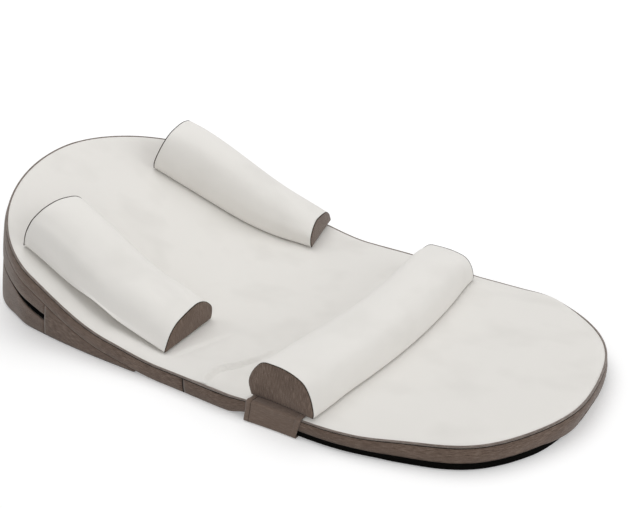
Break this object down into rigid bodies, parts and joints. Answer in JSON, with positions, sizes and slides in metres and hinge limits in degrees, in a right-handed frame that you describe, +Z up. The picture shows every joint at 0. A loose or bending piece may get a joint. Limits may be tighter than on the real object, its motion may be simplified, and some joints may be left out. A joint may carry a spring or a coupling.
{
  "type": "infant lounger",
  "caption": "Infant lounger: padded mat with rounded ends, foam wedge under the head end, side bolsters and a leg bolster on a strap.",
  "frame": {"origin": "on the surface that the lounger stands on, under the centre of its bounding box", "axes": "+X to the occupant's left, +Y to the head end along the length, +Z up"},
  "size_m": [0.4476, 0.8632, 0.1827],
  "materials": {
    "grey_cloth": "woven grey-brown melange cloth, matte",
    "white_cloth": "fine white knitted cloth, matte",
    "black_cloth": "black cloth, matte",
    "piping": "grey-brown rolled edge binding",
    "zip_tape": "woven black zip tape",
    "foam": "open-cell foam inside the covers",
    "rubber_sole": "non-slip black rubber",
    "zip_plastic": "moulded black zip plastic"
  },
  "bodies": {
    "base": {"mat_core": "foam", "mat_top_panel": "white_cloth", "mat_bottom_panel": "grey_cloth", "mat_foot_band": "grey_cloth", "mat_head_band": "grey_cloth", "mat_piping": "piping", "foot_base_panel": "black_cloth", "foot_edging": "black_cloth", "foot_sole": "rubber_sole", "wedge_base_panel": "black_cloth", "wedge_core": "foam", "wedge_toe_panel": "grey_cloth", "wedge_toe_gusset_right": "grey_cloth", "wedge_toe_gusset_left": "grey_cloth", "wedge_lower_gusset": "grey_cloth", "wedge_upper_gusset": "grey_cloth", "zip_tape_upper": "zip_tape", "zip_tape_lower": "zip_tape", "zip_chain": "zip_plastic"},
    "zip_slider": {"zip_slider": "zip_plastic"},
    "zip_pull": {"zip_pull": "zip_plastic"},
    "right_bolster": {"right_bolster_core": "foam", "right_bolster_sleeve": "white_cloth", "right_bolster_foot_panel": "grey_cloth", "right_bolster_head_panel": "grey_cloth", "right_bolster_outer_hook": "black_cloth", "right_bolster_inner_hook": "black_cloth"},
    "left_bolster": {"left_bolster_core": "foam", "left_bolster_sleeve": "white_cloth", "left_bolster_foot_panel": "grey_cloth", "left_bolster_head_panel": "grey_cloth", "left_bolster_outer_hook": "black_cloth", "left_bolster_inner_hook": "black_cloth"},
    "leg_bolster": {"leg_bolster_core": "foam", "leg_bolster_sleeve": "white_cloth", "leg_bolster_right_panel": "grey_cloth", "leg_bolster_left_panel": "grey_cloth", "leg_strap_right": "grey_cloth", "leg_strap_left": "grey_cloth", "leg_strap_hook": "black_cloth", "leg_strap_loop": "black_cloth"}
  },
  "joints": [
    {"name": "right_bolster_slide", "type": "slide", "parent": "base", "child": "right_bolster", "axis": [1, 0, 0], "range_m": [-0.01, 0.03]},
    {"name": "left_bolster_slide", "type": "slide", "parent": "base", "child": "left_bolster", "axis": [-1, 0, 0], "range_m": [-0.01, 0.03]},
    {"name": "leg_bolster_slide", "type": "slide", "parent": "base", "child": "leg_bolster", "axis": [0, 1, 0], "range_m": [-0.06, 0]},
    {"name": "zip_slide", "type": "slide", "parent": "base", "child": "zip_slider", "axis": [0, 0.976, 0.2176], "range_m": [0, 0.05]},
    {"name": "zip_pull_hinge", "type": "hinge", "parent": "zip_slider", "child": "zip_pull", "pos_m": [0.2187, 0.16601, 0.01594], "axis": [0, 0.2176, -0.976], "range_deg": [0, 175]}
  ]
}
